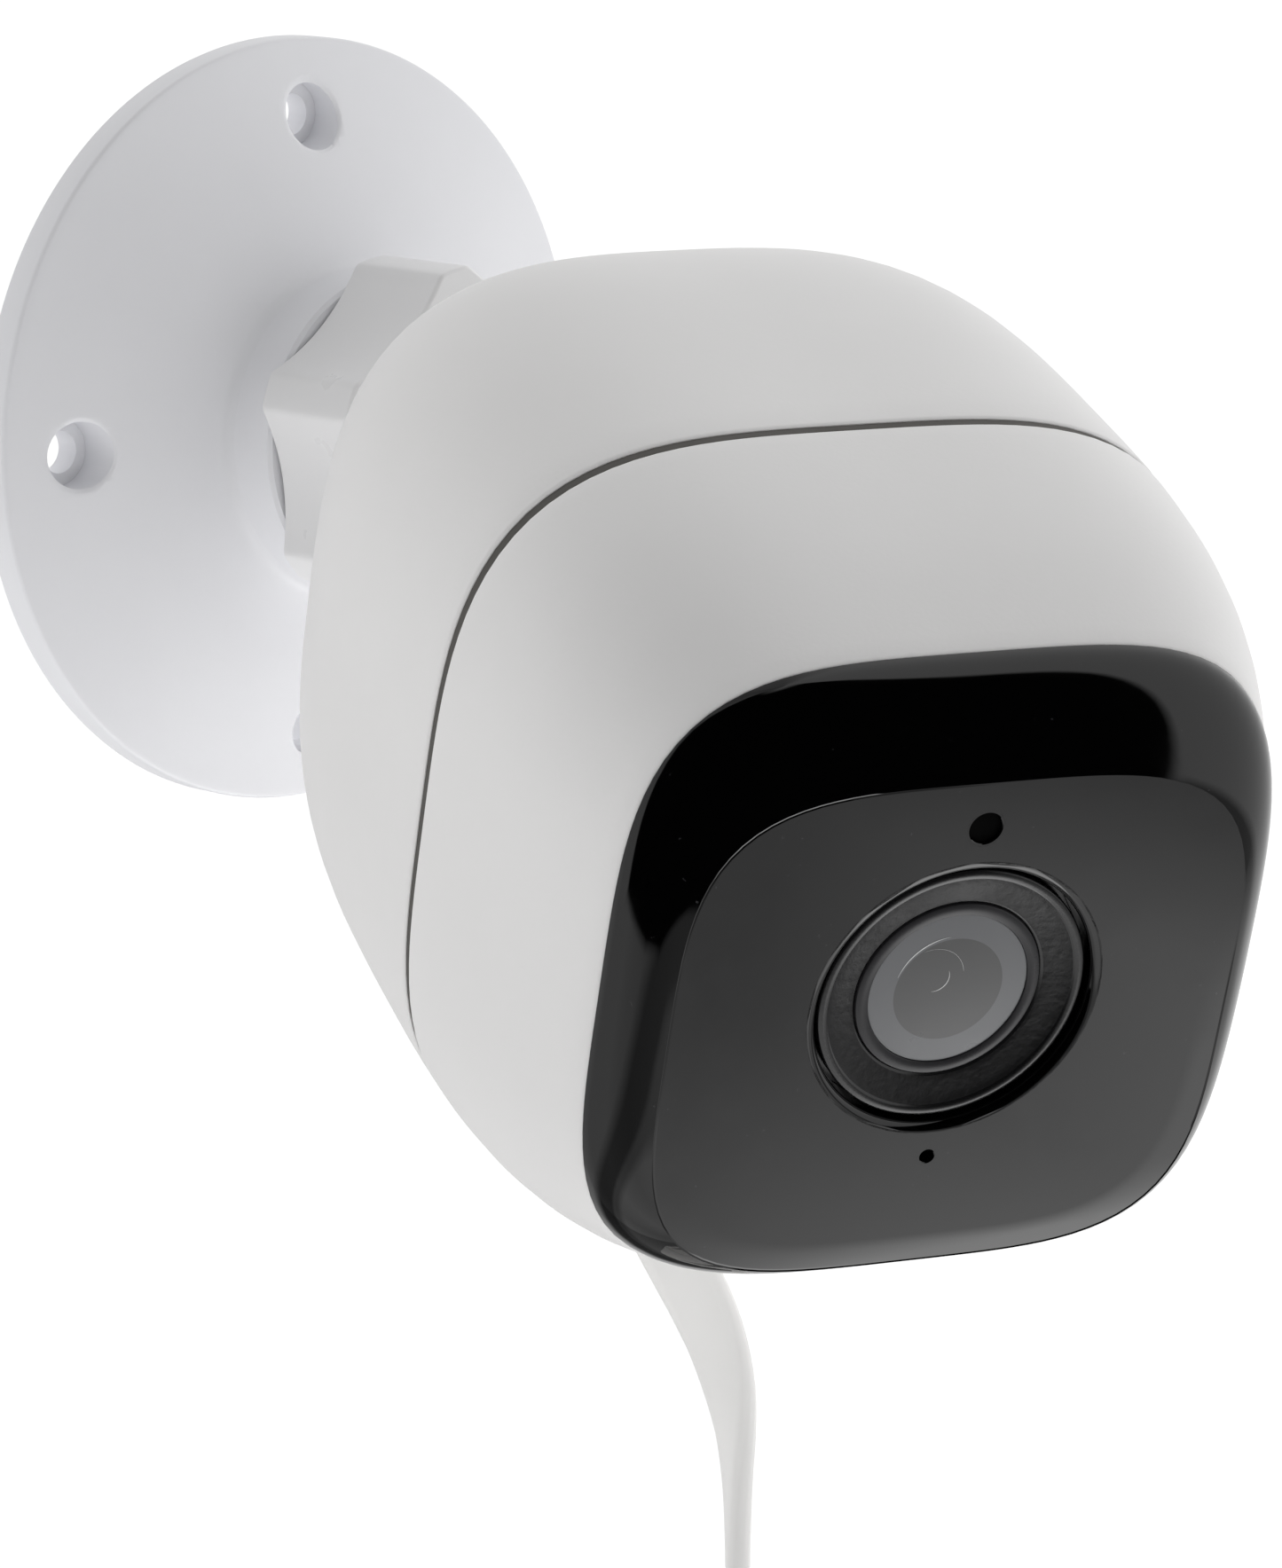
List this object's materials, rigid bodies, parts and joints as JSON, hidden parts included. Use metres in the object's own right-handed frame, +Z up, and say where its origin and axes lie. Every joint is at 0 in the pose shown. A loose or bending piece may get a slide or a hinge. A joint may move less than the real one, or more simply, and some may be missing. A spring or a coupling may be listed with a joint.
{
  "type": "security camera",
  "caption": "Wall-mounted security camera with a rounded white body, glossy black face, lens, ball joint with locking knob, round screw plate and flat power lead.",
  "frame": {"origin": "centre of the wall plate's back face, where its axis meets the wall", "axes": "+Z up, +Y into the wall along the plate's axis, the camera looks towards -Y"},
  "size_m": [0.0872, 0.1166, 0.262],
  "materials": {
    "housing_white": "satin moulded plastic",
    "bracket_white": "satin moulded plastic",
    "pale_plastic": "natural acetal",
    "face_black": "polished infrared-pass plastic",
    "bezel_black": "fine textured plastic",
    "inner_black": "plain moulded plastic",
    "seal_rubber": "matt rubber",
    "plug_rubber": "matt rubber",
    "lens_glass": "coated glass",
    "baffle_grey": "matt print",
    "steel": "zinc plated",
    "brass": "plated",
    "board": "solder mask on glass fibre",
    "chip": "moulded epoxy",
    "sink_metal": "anodised",
    "cord_white": "flexible vinyl jacket",
    "tie_black": "woven hook and loop strap"
  },
  "bodies": {
    "bracket": {"wall_plate": "bracket_white", "mount_pad": "seal_rubber"},
    "collet": {"collet_ring": "inner_black"},
    "knob": {"lock_knob": "bracket_white", "knob_insert": "brass"},
    "stud": {"ball_stud": "steel", "stud_washer": "steel", "stud_nut": "steel"},
    "liner": {"friction_liner": "pale_plastic"},
    "camera": {"ball_seat": "pale_plastic", "ball_retainer": "housing_white", "retainer_screws": "steel", "rear_housing": "housing_white", "seam_gasket": "seal_rubber", "front_housing": "housing_white", "housing_screws": "steel", "screw_plugs": "plug_rubber", "front_cover": "face_black", "lens_bezel": "bezel_black", "lens_barrel": "bezel_black", "front_lens": "lens_glass", "lens_baffle": "baffle_grey", "rear_lens": "lens_glass", "lens_holder": "inner_black", "sensor_board": "board", "image_sensor": "chip", "filter_frame": "inner_black", "filter_motor": "brass", "standoffs": "brass", "ir_board": "board", "ir_leds": "lens_glass", "light_guide": "lens_glass", "light_sensor": "chip", "microphone": "brass", "mic_boot": "seal_rubber", "chassis": "inner_black", "main_board": "board", "processor": "chip", "heat_sink": "sink_metal", "wifi_antenna": "brass", "flex_cable": "brass", "board_screws": "steel", "front_screws": "steel", "reset_switch": "chip", "cable_gland": "cord_white", "gland_nut": "inner_black", "power_wires": "inner_black", "power_cord": "cord_white", "cord_coil": "cord_white", "coil_tie": "tie_black", "cord_tail": "cord_white", "plug_body": "cord_white", "plug_shell": "steel", "plug_tongue": "inner_black", "plug_contacts": "brass"},
    "filter": {"filter_slider": "pale_plastic", "filter_glass": "lens_glass"},
    "button": {"reset_button": "plug_rubber"}
  },
  "joints": [
    {"name": "knob_travel", "type": "slide", "parent": "bracket", "child": "collet", "axis": [0, -1, 0], "range_m": [0, 0.001]},
    {"name": "knob_turn", "type": "hinge", "parent": "collet", "child": "knob", "pos_m": [0, -0.02, 0], "axis": [0, -1, 0], "range_deg": [0, 240]},
    {"name": "swivel", "type": "hinge", "parent": "bracket", "child": "stud", "pos_m": [0, -0.02, 0], "axis": [0, -1, 0], "range_deg": [-90, 90]},
    {"name": "pan", "type": "hinge", "parent": "stud", "child": "liner", "pos_m": [0, -0.034, 0], "axis": [0, 0, 1], "range_deg": [-12, 58]},
    {"name": "tilt", "type": "hinge", "parent": "liner", "child": "camera", "pos_m": [0, -0.034, 0], "axis": [0.9205, -0.3907, 0], "range_deg": [-45, 10]},
    {"name": "filter_slide", "type": "slide", "parent": "camera", "child": "filter", "axis": [0.9205, -0.3907, 0], "range_m": [-0.007, 0]},
    {"name": "reset_press", "type": "slide", "parent": "camera", "child": "button", "axis": [-0.1336, -0.3148, 0.9397], "range_m": [0, 0.0005], "stiffness_N_per_m": 400, "springref_m": -0.001}
  ],
  "couplings": [
    {"joint": "knob_travel", "follows": "knob_turn", "m_per_rad": 0.0002387}
  ]
}
